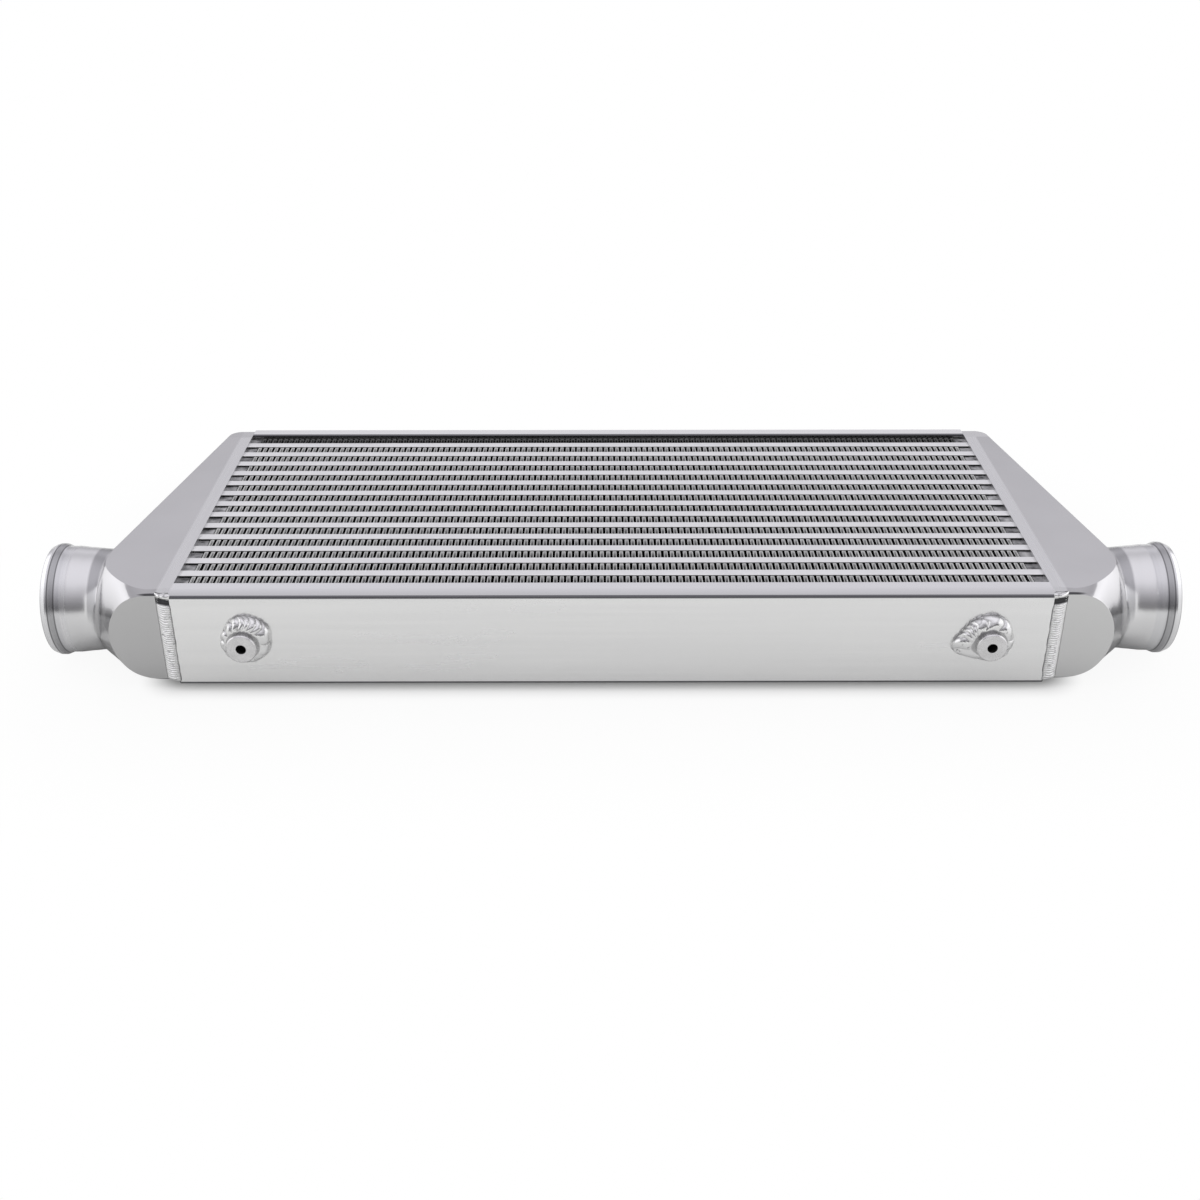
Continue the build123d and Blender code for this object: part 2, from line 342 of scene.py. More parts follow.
def side_plate_material():
    """Satin extrusion, drawn along X, with a painted shade line under the upper and lower corners and painted
    shade on the rail.
    """
    s = Shader("satin_aluminium_channel")
    lines = s.noise(scale=260.0, detail=4.0, vector=s.stretched(0.02, 1.0, 1.0))
    cloud = s.noise(scale=5.0, detail=3.0)
    tone = s.mottled(lines, (0.80, 0.80, 0.797), (0.84, 0.84, 0.835))
    plain = s.colour(s.span(cloud, 0.35, 0.7, 0.0, 0.35), tone, (0.78, 0.78, 0.785))
    depth = s.math("SUBTRACT", s.absolute(s.axis("Y")), FRONT_DISTANCE)
    # The front plate's rail gets a painted shade, darker at its front edge and lighter towards the core
    painted_rail_shade = s.colour(s.falling(depth, *RAIL_PAINTED_SHADE), (0.585, 0.585, 0.59), (0.72, 0.72, 0.73))
    railed = s.colour(s.falling(depth, *RAIL_START), plain, painted_rail_shade)
    # A painted shade line, in place of the shadowed rounded corner, lies under the upper and lower corners
    shade_line_start, shade_line_end = (HALF_HEIGHT - height for height in PLATE_SHADE_LINE_HEIGHT)
    corner = s.span(s.from_middle(), shade_line_start, shade_line_end)
    line = s.product(corner, s.falling(s.absolute(depth), *PLATE_SHADE_LINE_DEPTH))
    s.base(s.colour(s.product(line, 0.9), railed, (0.06, 0.06, 0.07)))
    s.roughness(s.varied(s.noise(scale=60.0, detail=5.0, vector=s.stretched(0.15, 1.0, 1.0)), 0.20, 0.28))
    s.relief(s.math("ADD", s.product(lines, 0.006), s.noise(scale=3.0, detail=1.0)), distance=0.3 * MM)
    return s.material


# Finish of the bars, fins and sheets

# Depths below the tubes' upper and lower faces, between which each painted shade ends
PASSAGE_SHADE = mm(1.0, 0.3)
FIN_SHADE = mm(6.5, 0.5)
# Distances before the last row, between which its painted shade comes in
FLANGE_SHADE = mm(1.0, 0.6)


def down_from_face(depths):
    """Distances from the middle of the core, from depths below the tubes' faces."""
    return [TUBE_HALF_HEIGHT - depth for depth in depths]


def bar_material():
    """Brazed bars: bright on top with the bloom of the furnace, dull down in the passages, with a near-black
    painted shade there.
    """
    s = Shader("brazed_bar_aluminium")
    cloud = s.noise(scale=45.0, detail=5.0)
    nick = s.span(s.noise(scale=520.0, detail=3.0), 0.62, 0.70)
    tone = s.mottled(cloud, (0.79, 0.79, 0.795), (0.87, 0.87, 0.87))
    top_tone = s.colour(nick, tone, (0.92, 0.92, 0.92))
    # Down in the passages the colour is a near-black painted shade
    inside = s.falling(s.from_middle(), *down_from_face(PASSAGE_SHADE))
    s.base(s.colour(inside, top_tone, (0.012, 0.012, 0.013)))
    s.roughness(s.mix(inside, s.varied(s.noise(scale=120.0, detail=4.0), 0.30, 0.42), 0.75))
    height = s.math("ADD", s.noise(scale=700.0, detail=3.0), s.product(cloud, 2.0))
    s.relief(height, distance=0.10 * MM, edge=0.4 * MM)
    return s.material


def end_bar_material():
    """The short bars sit back in the shade: their colour is a mottled painted shade, and they are dull."""
    s = Shader("painted_shade_end_bar")
    # Mottled painted shade
    s.base(s.mottled(s.noise(scale=130.0, detail=5.0), (0.05, 0.05, 0.055), (0.62, 0.62, 0.625)))
    s.roughness(s.varied(s.noise(scale=300.0, detail=3.0), 0.35, 0.6))
    s.relief(s.noise(scale=500.0, detail=4.0), distance=0.3 * MM)
    return s.material


def fin_material():
    """Thin rolled strip, duller and darker with depth as a painted shade, with flux bloom in patches."""
    s = Shader("brazed_fin_strip", metallic=0.45, Specular_IOR_Level=0.0)
    # A painted shade darkens the strip with depth below the tubes' faces
    painted_depth_shade = s.math("POWER", s.falling(s.from_middle(), *down_from_face(FIN_SHADE)), 0.7)
    bloom = s.span(s.noise(scale=70.0, detail=4.0), 0.3, 0.75)
    lit = s.colour(bloom, (0.64, 0.64, 0.645), (0.84, 0.84, 0.84))
    open_gap = s.colour(painted_depth_shade, lit, (0.10, 0.10, 0.105))
    # The last row lies under the rear plate's flange, and gets a painted shade
    last_row_painted_shade = s.span(s.axis("Y"), *(LAST_ROW_Y - depth for depth in FLANGE_SHADE), 0.0, 0.78)
    # The closed gaps' skin and the last row take a near-black painted shade
    dark = s.math("MAXIMUM", s.attribute("gap_painted_shade"), last_row_painted_shade)
    s.base(s.colour(dark, open_gap, (0.010, 0.010, 0.011)))
    s.roughness(s.varied(s.noise(scale=200.0, detail=3.0), 0.42, 0.58))
    s.relief(s.noise(scale=900.0, detail=2.0), distance=0.06 * MM)
    return s.material


def sheet_material():
    """The outermost parting sheets, dull, with a dark painted shade as their colour behind the fins."""
    s = Shader("parting_sheet_aluminium")
    # Dark painted shade
    s.base(s.mottled(s.noise(scale=50.0, detail=4.0), (0.10, 0.10, 0.10), (0.16, 0.16, 0.16)))
    s.roughness(s.varied(s.noise(scale=150.0, detail=3.0), 0.40, 0.55))
    s.relief(s.noise(scale=500.0, detail=2.0), distance=0.08 * MM)
    return s.material


# Finish of the bosses and welds

THREAD_EDGE = mm(3.4, 3.6)
THREAD_PITCH = 1.25 * MM


def boss_material():
    """Turned boss, with a near-black painted shade inside the hole, striped by the turns of its thread in
    painted light and shade.
    """
    s = Shader("turned_boss_aluminium")
    rings = s.noise(scale=900.0, detail=2.0)
    face = s.mottled(s.noise(scale=160.0, detail=4.0), (0.62, 0.615, 0.62), (0.72, 0.715, 0.72))
    across = s.math("SUBTRACT", s.distance(s.axis("X"), BOSS_SHIFT), BOSS_X)
    upward = s.math("SUBTRACT", s.axis("Z"), MIDDLE_Z)
    # Inside the hole the colour is a near-black painted shade, striped lighter and darker along the thread's
    # turns
    inside = s.falling(s.length(across, upward), *THREAD_EDGE)
    thread = s.math("SINE", s.product(s.axis("Y"), 2 * math.pi / THREAD_PITCH))
    turns = s.colour(s.span(thread, -1.0, 1.0), (0.015, 0.015, 0.016), (0.09, 0.09, 0.09))
    s.base(s.colour(inside, face, turns))
    s.roughness(s.mix(inside, s.varied(rings, 0.20, 0.30), 0.5))
    s.relief(s.mix(inside, rings, s.product(thread, 3.0)), distance=0.05 * MM, edge=0.4 * MM)
    return s.material


def weld_material():
    """Bright weld metal: smooth pool skin, with soot in patches, darker toes, and painted shade in the
    valleys and the pit.
    """
    s = Shader("bright_weld_aluminium")
    soot = s.span(s.noise(scale=330.0, detail=5.0), 0.58, 0.74)
    # Soot in patches, with the darkening and painted shade that the mesh carries
    soot_darkening_and_painted_shade = s.math("MAXIMUM", s.product(soot, 0.7), s.attribute("darkening_and_painted_shade"))
    s.base(s.colour(soot_darkening_and_painted_shade, (0.76, 0.76, 0.76), (0.035, 0.035, 0.037)))
    s.roughness(s.mix(soot_darkening_and_painted_shade, s.varied(s.noise(scale=240.0, detail=3.0), 0.12, 0.22), 0.45))
    s.relief(s.noise(scale=750.0, detail=4.0), distance=0.14 * MM)
    return s.material


MATERIALS = {
    "cast_tank": cast_tank_material(),
    "side_plate": side_plate_material(),
    "core_sheet": sheet_material(),
    "closure_bar": bar_material(),
    "fin": fin_material(),
    "boss": boss_material(),
    "weld": weld_material(),
}
END_BAR = end_bar_material()
for part in frame["record"]["subparts"]:
    finish = END_BAR if part["node"].startswith("end_bars") else MATERIALS[part["material_slot"]]
    cad = nodes[part["node"]]
    cad.data.materials.clear()
    cad.data.materials.append(finish)


# Mesh helpers

def piece(name, points, faces, slot, replaced, smooth=True, darkening_and_painted_shade=None):
    """A mesh piece in the row frame, with its material, riding on the one body."""
    mesh = bpy.data.meshes.new(name)
    mesh.from_pydata([tuple(point) for point in points], [], faces)
    mesh.validate()
    mesh.polygons.foreach_set("use_smooth", [smooth] * len(mesh.polygons))
    mesh.update()
    if darkening_and_painted_shade is not None:
        mesh.attributes.new("darkening_and_painted_shade", "FLOAT", "POINT").data.foreach_set("value", darkening_and_painted_shade)
    obj = bpy.data.objects.new(name, mesh)
    bpy.context.scene.collection.objects.link(obj)
    mesh.materials.append(MATERIALS[slot])
    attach(obj, "root")
    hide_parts(replaced)
    return obj


def rounded(points, radius, steps=2):
    """An open 2-D line with its corners cut to short curves."""
    out = [points[0]]
    for before, corner, after in zip(points, points[1:], points[2:]):
        b, c, a = (np.array(p, float) for p in (before, corner, after))
        reach_in = min(radius, np.linalg.norm(b - c) / 2)
        reach_out = min(radius, np.linalg.norm(a - c) / 2)
        p = c + (b - c) / np.linalg.norm(b - c) * reach_in
        q = c + (a - c) / np.linalg.norm(a - c) * reach_out
        for k in range(steps + 1):
            t = k / steps
            out.append(tuple((1 - t) ** 2 * p + 2 * t * (1 - t) * c + t * t * q))
    out.append(points[-1])
    return out


# Cooling fins. The bars are drawn a little slimmer than the solid tubes, and the fins reach out to them.

FIN_FOLDS = 128
FIN_SHEET = 0.35 * MM
FIN_BEND = 0.45 * MM
FOLD_HALF = 1.16 * MM
BAR_SIDE_GAP = 0.5 * MM
# How far a whole row slips along X, and how unevenly its folds stand and lean
ROW_SLIP = 0.3 * MM
FOLD_WANDER = 0.05 * MM
FOLD_LEAN = 0.06 * MM


def fold_line(low, high):
    """The middle line of one strip's folds, seen from above."""
    pitch = (high.x - low.x) / FIN_FOLDS
    near = low.y + FIN_SHEET / 2 - BAR_SIDE_GAP
    far = high.y - FIN_SHEET / 2 + BAR_SIDE_GAP
    line = [(low.x, near)]
    slip = spread.uniform(-ROW_SLIP, ROW_SLIP)
    for fold in range(FIN_FOLDS):
        middle = low.x + (fold + 0.5) * pitch + (slip if 0 < fold < FIN_FOLDS - 1 else 0.0)
        middle += spread.normal(0, FOLD_WANDER)
        lean = spread.normal(0, FOLD_LEAN)
        line += [
            (middle - FOLD_HALF + lean, near),
            (middle - FOLD_HALF, far),
            (middle + FOLD_HALF, far),
            (middle + FOLD_HALF + lean, near),
        ]
    line.append((high.x, near))
    return np.array(rounded(line, FIN_BEND))


def fin_row(number):
    """One row's strip: square folds pressed between two charge tubes."""
    node = f"cooling_fin_{number:02d}"
    low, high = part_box(node)
    line = fold_line(low, high)
    along = np.gradient(line, axis=0)
    side = np.column_stack([along[:, 1], -along[:, 0]]) / np.linalg.norm(along, axis=1)[:, None]
    edges = (line + side * FIN_SHEET / 2, line - side * FIN_SHEET / 2)
    points = [(x, y, z) for edge in edges for z in (low.z, high.z) for x, y in edge]
    n = len(line)
    # The two skins, then the strip's upper and lower edges: each runs between two of the four lines.
    # The second skin's gaps are closed towards the front, and that skin takes a near-black painted shade.
    skins = ((0, n, 0.0, True), (3 * n, 2 * n, 1.0, True), (n, 3 * n, 0.0, False), (2 * n, 0, 0.0, False))
    faces, gap_painted_shade, soft = [], [], []
    for first, second, shade, smooth in skins:
        for i in range(n - 1):
            faces.append((first + i, first + i + 1, second + i + 1, second + i))
            gap_painted_shade.append(shade)
            soft.append(smooth)
    faces += [(0, n, 3 * n, 2 * n), (n - 1, 3 * n - 1, 4 * n - 1, 2 * n - 1)]
    strip = piece(f"fin_strip_{number:02d}", points, faces, "fin", node)
    strip.data.attributes.new("gap_painted_shade", "FLOAT", "FACE").data.foreach_set("value", gap_painted_shade + [0.0, 0.0])
    strip.data.polygons.foreach_set("use_smooth", soft + [False, False])


for number in range(1, FIN_ROWS + 1):
    fin_row(number)


# Charge bars

BAR_CORNER = 0.55 * MM
BAR_CORNER_STEPS = 4
BAR_SPANS = 60
PARTING_SHEET = 0.8 * MM
LONG_BAR_DEPTH = 7 * MM
# The four corners of a section, and the direction in degrees in which each one's round starts
CORNERS = ((1, -1, -90), (1, 1, 0), (-1, 1, 90), (-1, -1, 180))
# The bars wander by a hair along their length, as brazed stock does: how far, and how often a metre
BAR_SWAY, SWAY_RATE = 0.07 * MM, 9
BAR_LIFT, LIFT_RATE = 0.06 * MM, 7


def bar_outline(half_wide, half_tall):
    """The outline across a tube, with rounded corners: from the lower rear one, anticlockwise about X."""
    outline = []
    for side_y, side_z, first in CORNERS:
        for k in range(BAR_CORNER_STEPS + 1):
            angle = math.radians(first + 90 * k / BAR_CORNER_STEPS)
            outline.append((side_y * (half_wide - BAR_CORNER) + BAR_CORNER * math.cos(angle),
                            side_z * (half_tall - BAR_CORNER) + BAR_CORNER * math.sin(angle)))
    return outline


def charge_bar(number):
    """A charge tube: two parting sheets round its passage, with the long bars' rounded edges."""
    node = f"charge_tube_{number:02d}"
    low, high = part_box(node)
    half_wide = (high.y - low.y) / 2 - BAR_SIDE_GAP
    half_tall = (high.z - low.z) / 2
    middle_y, middle_z = (low.y + high.y) / 2, (low.z + high.z) / 2
    outer = bar_outline(half_wide, half_tall)
    passage_y, passage_z = half_wide - PARTING_SHEET, half_tall - LONG_BAR_DEPTH
    inner = [(side_y * passage_y, side_z * passage_z) for side_y, side_z, _ in CORNERS]
    ring = len(outer)
    points, faces = [], []
    for k in range(BAR_SPANS + 1):
        x = low.x + (high.x - low.x) * k / BAR_SPANS
        # Each bar reads its own line through the noise
        sway = BAR_SWAY * noise.noise((x * SWAY_RATE, number * 3.1, 0.0))
        lift = BAR_LIFT * noise.noise((x * LIFT_RATE, number * 5.3, 4.0))
        for y, z in outer:
            points.append((x, middle_y + y + sway, middle_z + z + (lift if z > 0 else 0.0)))
    for k in range(BAR_SPANS):
        for i in range(ring):
            a, b = k * ring + i, k * ring + (i + 1) % ring
            faces.append((a, a + ring, b + ring, b))
    base = len(points)
    for x in (low.x, high.x):
        points += [(x, middle_y + y, middle_z + z) for y, z in inner]
    for i in range(4):
        a, b = base + i, base + (i + 1) % 4
        faces.append((a, b, b + 4, a + 4))
    # Each end is a frame round the passage: one patch to every inner corner
    group = BAR_CORNER_STEPS + 1
    for end, first, back in ((0, base, False), (BAR_SPANS * ring, base + 4, True)):
        for corner in range(4):
            fan = [end + corner * group + k for k in range(group)]
            after = end + ((corner + 1) % 4) * group
            patch = fan + [after, first + (corner + 1) % 4, first + corner]
            faces.append(tuple(patch) if back else tuple(patch[::-1]))
    piece(f"charge_bar_{number:02d}", points, faces, "closure_bar", node, smooth=False)


for number in range(1, FIN_ROWS):
    charge_bar(number)


# Tank welds. Lengths are in millimetres. Powers below 1 make the ripples and pools of all the welds
# round, with sharp valleys between them.

BEAD_ACROSS, BEAD_ALONG = 20, 260
BEAD_ON_PLATE = 1.9
BEAD_ON_TANK = 9.2
TANK_SET_BACK = 4.25
BEAD_ROOT = 4.4
BEAD_BELOW = 1.5
BEAD_ABOVE = {"front": 4.0, "rear": 0.8}
FOOT_RUN = 2.0
POOL_LENGTH = 3.6
POOL_CROWN = 0.7
PIT_START, PIT_START_RUN = 3.3, 0.5
PIT_END, PIT_END_RUN = 8.4, 0.8
PIT_SHARE = {"front": 1.0, "rear": 0.25}
BEAD_CROWN = 1.15
BEAD_SUNK = 0.9
RIPPLE_PITCH = 1.75
RIPPLE_BOW = 4.4
RIPPLE_HEIGHT, RIPPLE_LEVEL = 0.85, 0.6
LUMP_HEIGHT = 0.30
TOE_WANDER = 0.30
# The dark toe's share of the width, how dark the skin and the toe are, and how deep the pit's painted shade
# is
TOE_RIM = 0.09
SKIN_DIRT, TOE_DARKENING, PIT_PAINTED_SHADE = 0.06, 0.90, 0.9
# Below this level of the ripples, their valleys take a painted shade
RIPPLE_VALLEY = 0.55
BEAD_SEEDS = {"left": {"front": 3.0, "rear": 43.0}, "right": {"front": 17.0, "rear": 57.0}}


def bead_level(from_top, from_foot, place):
    """Whether a level lies in the end pool, how deep in the pit under it, and how full the bead is."""
    pool = 1.0 if from_top < POOL_LENGTH else 0.0
    pit = max(0.0, min(1.0, (from_top - PIT_START) / PIT_START_RUN, (PIT_END - from_top) / PIT_END_RUN))
    if pool:
        full = math.sqrt(max(0.0, 1 - abs(2 * from_top / POOL_LENGTH - 1) ** 2.6))
    else:
        full = math.sqrt(max(0.0, 1 - (1 - min(1.0, from_foot / FOOT_RUN)) ** 2))
    return pool, pit * PIT_SHARE[place], full


def bead_point(u, z, from_top, level, seed):
    """How far the bead stands out, and how dark it is, at a share of the way across."""
    pool, pit, full = level
    bulge = math.sin(math.pi * u)
    warp = noise.noise((seed, z * 90, 0.0)) * 0.7
    phase = from_top / RIPPLE_PITCH + RIPPLE_BOW * (u - 0.5) ** 2 + warp
    cusp = abs(math.sin(math.pi * phase)) ** 0.6
    crown = BEAD_CROWN * bulge ** 0.7 + POOL_CROWN * pool * bulge
    ripple = RIPPLE_HEIGHT * (cusp - RIPPLE_LEVEL) * bulge ** 0.4 * (1 - pool)
    lump = LUMP_HEIGHT * noise.noise((u * 3 + seed, z * 260, seed)) * bulge
    raised = (crown + ripple + lump) * full - (1 - full) * BEAD_SUNK - BEAD_SUNK * pit * bulge ** 0.5
    # The toes are darker; the ripples' valleys, more towards the tank, and the pit take a painted shade
    rim = max(0.0, 1 - min(u, 1 - u) / TOE_RIM)
    valley = max(0.0, RIPPLE_VALLEY - cusp) * (0.4 + 1.2 * u) * (1 - pool)
    dark = (SKIN_DIRT + TOE_DARKENING * rim) * (1 - pool) + valley + PIT_PAINTED_SHADE * pit
    return raised, min(1.0, dark)


def tank_weld(side, place):
    """A laid bead of overlapping ripples in the corner between a tank and a side plate."""
    node = f"tank_weld_{side}_{place}"
    low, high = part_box(node)
    outward = -1 if side == "left" else 1
    inward = 1 if place == "front" else -1
    face_y = low.y if place == "front" else high.y
    corner_x = outward * CORE_END
    start = Vector((corner_x - outward * BEAD_ON_PLATE * MM, face_y))
    end = Vector((corner_x + outward * BEAD_ON_TANK * MM, face_y + inward * TANK_SET_BACK * MM))
    chord = end - start
    out = Vector((chord.y, -chord.x)).normalized()
    if out.y * inward > 0:
        out = -out
    # The bead's back runs inside the corner, where nothing shows
    back = (end - chord * 0.15, start + Vector((outward * BEAD_ON_PLATE, inward * BEAD_ROOT)) * MM)
    low_z, high_z = low.z - BEAD_BELOW * MM, high.z + BEAD_ABOVE[place] * MM
    seed = BEAD_SEEDS[side][place]
    points, faces, darkening_and_painted_shade = [], [], []
    ring = BEAD_ACROSS + 1 + len(back)
    for row in range(BEAD_ALONG + 1):
        z = low_z + row / BEAD_ALONG * (high_z - low_z)
        from_top = (high_z - z) / MM
        level = bead_level(from_top, (z - low_z) / MM, place)
        for column in range(BEAD_ACROSS + 1):
            u = column / BEAD_ACROSS
            raised, dark = bead_point(u, z, from_top, level, seed)
            wander = TOE_WANDER * noise.noise((z * 140, seed, u)) * abs(math.cos(math.pi * u))
            spot = start + chord * u + out * raised * MM + chord.normalized() * wander * MM
            points.append((spot.x, spot.y, z))
            darkening_and_painted_shade.append(dark)
        for spot in back:
            points.append((spot.x, spot.y, z))
            darkening_and_painted_shade.append(0.0)
    for row in range(BEAD_ALONG):
        for k in range(ring):
            a, b = row * ring + k, row * ring + (k + 1) % ring
            faces.append((a, b, b + ring, a + ring))
    faces.append(tuple(range(ring))[::-1])
    faces.append(tuple(BEAD_ALONG * ring + k for k in range(ring)))
    piece(f"tank_bead_{side}_{place}", points, faces, "weld", node, darkening_and_painted_shade=darkening_and_painted_shade)


for side in ("left", "right"):
    for place in ("front", "rear"):
        tank_weld(side, place)


# Welds round the bosses

COLLAR_AROUND, COLLAR_UP = 300, 30
COLLAR_SEEDS = {"left": 5.0, "right": 23.0}
COLLAR_SUNK = 0.3
# Where each pool of the collar starts, in degrees round the boss
POOLS = {
    "left": (-150, -95, -45, 8, 50, 62, 74, 87, 103, 122, 146, 176, 210),
    "right": (-160, -110, -60, -15, 22, 76, 116, 138, 150, 161, 173, 200),
}
# How wide a full-sized pool is, and how far its edges slant and wander, in degrees
FULL_POOL = 30.0
POOL_SLANT = 9
POOL_WANDER = 6
# How high the pools and lumps stand, in mm
POOL_HEIGHT, POOL_LEVEL = 1.9, 0.6
COLLAR_LUMP = 0.6
# How dark the valleys' painted shade and the two rims are, and between which shares of the way up
POOL_VALLEY, VALLEY_PAINTED_SHADE = 0.42, 1.6
VALLEY_LOW, VALLEY_HIGH = 0.12, 0.9
RIM_DARKENING, UPPER_RIM = 0.42, 0.93
# Where the collar reaches out further: the direction in degrees, how far in mm, and how narrowly
REACH = {
    "left": ((0, 1.6, 2), (75, 2.2, 2), (180, -1.8, 2), (270, -2.2, 2)),
    "right": ((0, -1.6, 2), (75, 2.0, 2), (193, 7.0, 14), (170, 2.0, 3), (270, -2.4, 2)),
}


def collar_size(side, angle, foot_radius, height):
    """How far out the collar reaches and how tall it stands, in one direction round the boss."""
    seed = COLLAR_SEEDS[side]
    cx, cz = math.cos(math.radians(angle)), math.sin(math.radians(angle))
    reach = foot_radius * (0.97 + 0.05 * noise.noise((cx * 1.3 + seed, cz * 1.3, 0.4)))
    for toward, more, narrow in REACH[side]:
        reach += more * MM * max(0.0, math.cos(math.radians(angle - toward))) ** narrow
    upper = 0.5 + 0.5 * cz
    tall = height * (0.72 + 0.30 * upper + 0.10 * noise.noise((cx * 1.1, cz * 1.1 + seed, 2.0)))
    return reach, tall


def collar_push(side, angle, s):
    """How far a pool's skin stands out in mm, and how dark the painted shade in its valley is, at a share of
    the way up.
    """
    seed = COLLAR_SEEDS[side]
    cx, cz = math.cos(math.radians(angle)), math.sin(math.radians(angle))
    upper = 0.5 + 0.5 * cz
    starts = POOLS[side]
    ends = list(starts) + [starts[0] + 360.0]
    along = angle + POOL_SLANT * math.sin(math.pi * s) + POOL_WANDER * noise.noise((cx * 2 + seed, cz * 2, s))
    along = (along - starts[0]) % 360.0 + starts[0]
    k = max(n for n in range(len(starts)) if starts[n] <= along)
    width = ends[k + 1] - ends[k]
    cusp = math.sin(math.pi * (along - ends[k]) / width) ** 0.55
    size = 0.35 + 0.65 * min(1.0, width / FULL_POOL)
    body = math.sin(math.pi * min(1.0, s * 1.05 + 0.02)) ** 0.8
    push = POOL_HEIGHT * size * (cusp - POOL_LEVEL) * body * (0.35 + 0.65 * upper)
    push += COLLAR_LUMP * noise.noise((cx * 3.1 + seed, cz * 3.1, s * 2.2)) * body
    # The valleys between pools take a painted shade, stronger on the upper side
    valley = max(0.0, POOL_VALLEY - cusp) * VALLEY_PAINTED_SHADE * (0.3 + 0.7 * upper)
    return push, valley if VALLEY_LOW < s < VALLEY_HIGH else 0.0


def boss_collar(side):
    """The hand-laid weld round a boss: overlapping pools, wider where the torch paused."""
    node = f"boss_weld_{side}"
    low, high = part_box(node)
    boss_low, boss_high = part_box(f"mounting_boss_{side}")
    centre = (boss_low + boss_high) / 2
    boss_radius = (boss_high.x - boss_low.x) / 2
    points, faces, darkening_and_painted_shade = [], [], []
    for i in range(COLLAR_AROUND):
        angle = 360.0 * i / COLLAR_AROUND
        cx, cz = math.cos(math.radians(angle)), math.sin(math.radians(angle))
        reach, tall = collar_size(side, angle, (high.x - low.x) / 2, high.y - low.y)
        for j in range(COLLAR_UP + 1):
            s = j / COLLAR_UP
            turn = s * math.pi / 2
            push, valley = collar_push(side, angle, s)
            radial = boss_radius - COLLAR_SUNK * MM + (reach - boss_radius) * math.cos(turn) ** 0.8
            radial += push * math.cos(turn) * MM
            rise = tall * math.sin(turn) ** 0.9 + push * math.sin(turn) * MM
            points.append((centre.x + radial * cx, high.y - max(0.0, rise), centre.z + radial * cz))
            rim = RIM_DARKENING if j == 0 or s > UPPER_RIM else 0.0
            darkening_and_painted_shade.append(min(1.0, valley + rim))
    ring = COLLAR_UP + 1
    for i in range(COLLAR_AROUND):
        for j in range(COLLAR_UP):
            a, b = i * ring + j, ((i + 1) % COLLAR_AROUND) * ring + j
            faces.append((a, a + 1, b + 1, b))
    piece(f"boss_collar_{side}", points, faces, "weld", node, darkening_and_painted_shade=darkening_and_painted_shade)


for side in ("left", "right"):
    boss_collar(side)


# Floor. Its white share grows away from the object, so that the shadow stays on the floor round it.

FLOOR_HALF, FLOOR_CELLS = 14.0, 8
FLOOR_LEVEL = -0.4 * MM
FLOOR_TONE = (0.74, 0.74, 0.74, 1)
SHADOW_HALF_X, SHADOW_HALF_Y = 0.30, 0.125
# Distances from the object between which white comes in, and the share before and after them
NEAR_WHITE = (0.0, 0.035, 0.0, 0.92)
FAR_WHITE = (0.03, 0.20, 0.0, 0.08)
MIRRORED_WHITE = (0.03, 0.4)
# In the metal the floor is a little brighter towards the right
MIRRORED_SWEEP = (-0.4, 0.4, 0.70, 1.0)


def floor_material():
    """Pale floor, white where the camera sees it or metal mirrors it, away from the object's shadow."""
    material = bpy.data.materials.new("pale_floor")
    material.use_nodes = True
    s = Nodes(material.node_tree, "Object")
    diffuse = s.add("ShaderNodeBsdfDiffuse")
    diffuse.inputs["Color"].default_value = FLOOR_TONE
    glow = s.add("ShaderNodeEmission")
    glow.inputs["Strength"].default_value = 1.0
    path = s.add("ShaderNodeLightPath")
    out_x = s.math("MAXIMUM", s.math("SUBTRACT", s.absolute(s.axis("X")), SHADOW_HALF_X), 0.0)
    out_y = s.math("MAXIMUM", s.math("SUBTRACT", s.absolute(s.axis("Y")), SHADOW_HALF_Y), 0.0)
    away = s.length(out_x, out_y)
    white = s.math("ADD", s.span(away, *NEAR_WHITE, smooth=True), s.span(away, *FAR_WHITE, smooth=True))
    seen = s.math("MAXIMUM", path.outputs["Is Camera Ray"], path.outputs["Is Transmission Ray"])
    sweep = s.product(s.span(away, *MIRRORED_WHITE, smooth=True), s.span(s.axis("X"), *MIRRORED_SWEEP))
    mirrored = s.product(path.outputs["Is Glossy Ray"], sweep)
    share = s.math("MAXIMUM", s.product(seen, white), mirrored)
    out = s.add("ShaderNodeOutputMaterial")
    s.plug(s.mix_shader(share, diffuse.outputs[0], glow.outputs[0]), out.inputs["Surface"])
    return material


def floor():
    """A wide grid just under the object."""
    mesh = bpy.data.meshes.new("studio_floor")
    line = [-FLOOR_HALF + 2 * FLOOR_HALF * i / FLOOR_CELLS for i in range(FLOOR_CELLS + 1)]
    grid = [(x, y, FLOOR_LEVEL) for y in line for x in line]
    row = len(line)
    corners = [j * row + i for j in range(FLOOR_CELLS) for i in range(FLOOR_CELLS)]
    mesh.from_pydata(grid, [], [(a, a + 1, a + row + 1, a + row) for a in corners])
    mesh.materials.append(floor_material())
    obj = bpy.data.objects.new("studio_floor", mesh)
    bpy.context.scene.collection.objects.link(obj)


# Studio. Height in the sky, from 0 at the horizon to 1 overhead, and how bright the metal sees it:
# dark behind the camera, with a pale wall behind the object.

SKY_FRONT = ((0.0, 0.07), (0.10, 0.16), (0.42, 0.43), (0.69, 0.76), (0.86, 1.04), (0.98, 1.08))
SKY_BACK = ((0.0, 0.42), (0.16, 0.58), (0.47, 0.95), (0.67, 0.68), (0.90, 1.02), (0.98, 1.08))
SKY_TINT = (0.99, 0.975, 1.03)
SKY_BACKWARD = (-0.45, 0.25)
FILL_TONE = (0.72, 0.72, 0.72, 1)
WHITE = (1, 1, 1, 1)


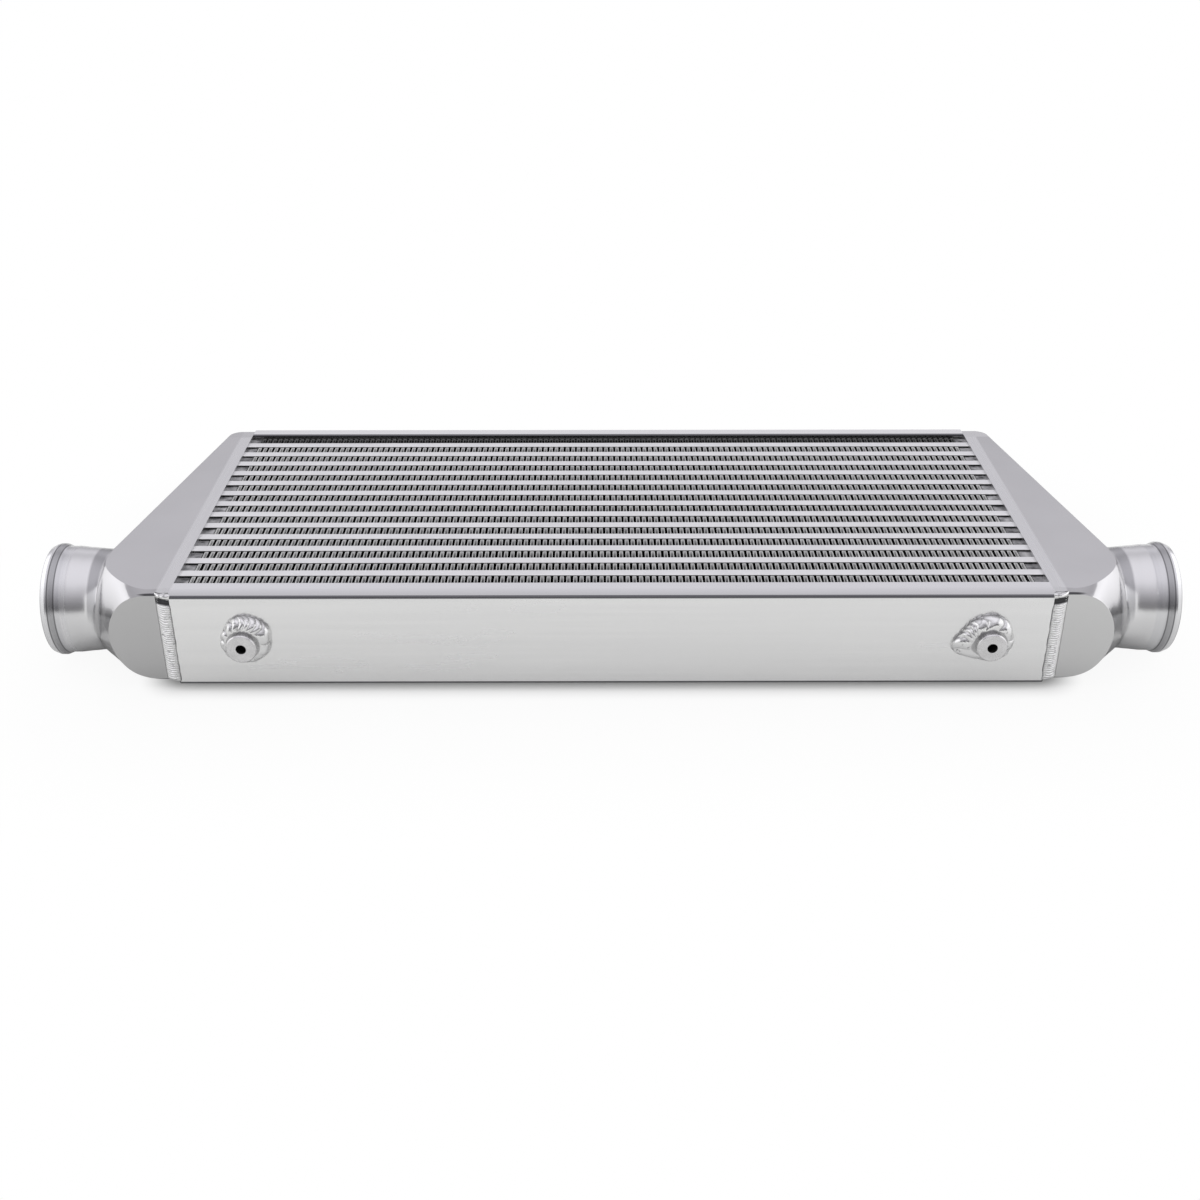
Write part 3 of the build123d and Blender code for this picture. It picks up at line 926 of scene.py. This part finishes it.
def background(s, colour):
    node = s.add("ShaderNodeBackground")
    s.plug(colour, node.inputs["Color"])
    return node.outputs[0]


def sky_ramp(s, height, steps):
    """Brightness by height, in a faintly cool tint."""
    ramp = s.add("ShaderNodeValToRGB")
    s.plug(height, ramp.inputs["Fac"])
    elements = ramp.color_ramp.elements
    while len(elements) < len(steps):
        elements.new(0.5)
    for element, (position, level) in zip(elements, steps):
        element.position = position
        element.color = (*(level * tint for tint in SKY_TINT), 1)
    return ramp.outputs["Color"]


def world():
    """White studio: plain white where it is seen, a soft overhead-to-horizon fall-off in the metal."""
    sky = bpy.data.worlds.new("studio")
    bpy.context.scene.world = sky
    sky.use_nodes = True
    s = Nodes(sky.node_tree, "Generated")
    ramps = [sky_ramp(s, s.axis("Z"), steps) for steps in (SKY_FRONT, SKY_BACK)]
    studio = s.colour(s.span(s.axis("Y"), *SKY_BACKWARD, smooth=True), *ramps)
    path = s.add("ShaderNodeLightPath")
    seen = s.math("MAXIMUM", path.outputs["Is Camera Ray"], path.outputs["Is Transmission Ray"])
    lit = s.mix_shader(path.outputs["Is Glossy Ray"], background(s, FILL_TONE), background(s, studio))
    out = s.add("ShaderNodeOutputWorld")
    s.plug(s.mix_shader(seen, lit, background(s, WHITE)), out.inputs["Surface"])


def softbox(name, place, target, width, height, radiance, mirrored=True):
    """A rectangular lamp that isn't seen itself, and shows in the metal only where mirrored."""
    lamp = bpy.data.lights.new(name, "AREA")
    lamp.shape = "RECTANGLE"
    lamp.size, lamp.size_y = width, height
    lamp.energy = radiance * math.pi * width * height
    obj = bpy.data.objects.new(name, lamp)
    bpy.context.scene.collection.objects.link(obj)
    obj.location = place
    obj.rotation_euler = (Vector(target) - Vector(place)).to_track_quat("-Z", "Y").to_euler()
    obj.visible_camera = False
    obj.visible_glossy = mirrored


floor()
world()
softbox("overhead_softbox", place=(0.0, -0.05, 1.9), target=(0.0, -0.05, 0.0),
        width=2.8, height=1.9, radiance=0.72, mirrored=False)
for side in (-1, 1):
    softbox("side_softbox", place=(1.75 * side, -0.10, 0.66), target=(0.30 * side, -0.10, 0.60),
            width=3.0, height=1.25, radiance=0.86)


# Camera, at the photograph's viewing angle: its two turns are in radians

CAMERA_PLACE = mm(-11.07, -1022.5, 544.6)
CAMERA_DOWN = 0.49438
CAMERA_TURN = -0.00331

camera = bpy.data.cameras.new("camera")
camera.lens = 44.4
camera.sensor_width = 36.0
camera.clip_end = 100.0
eye = bpy.data.objects.new("camera", camera)
bpy.context.scene.collection.objects.link(eye)
eye.location = CAMERA_PLACE
eye.rotation_euler = (math.pi / 2 - CAMERA_DOWN, 0.0, CAMERA_TURN)
bpy.context.scene.camera = eye
bpy.context.scene.view_settings.view_transform = "Standard"
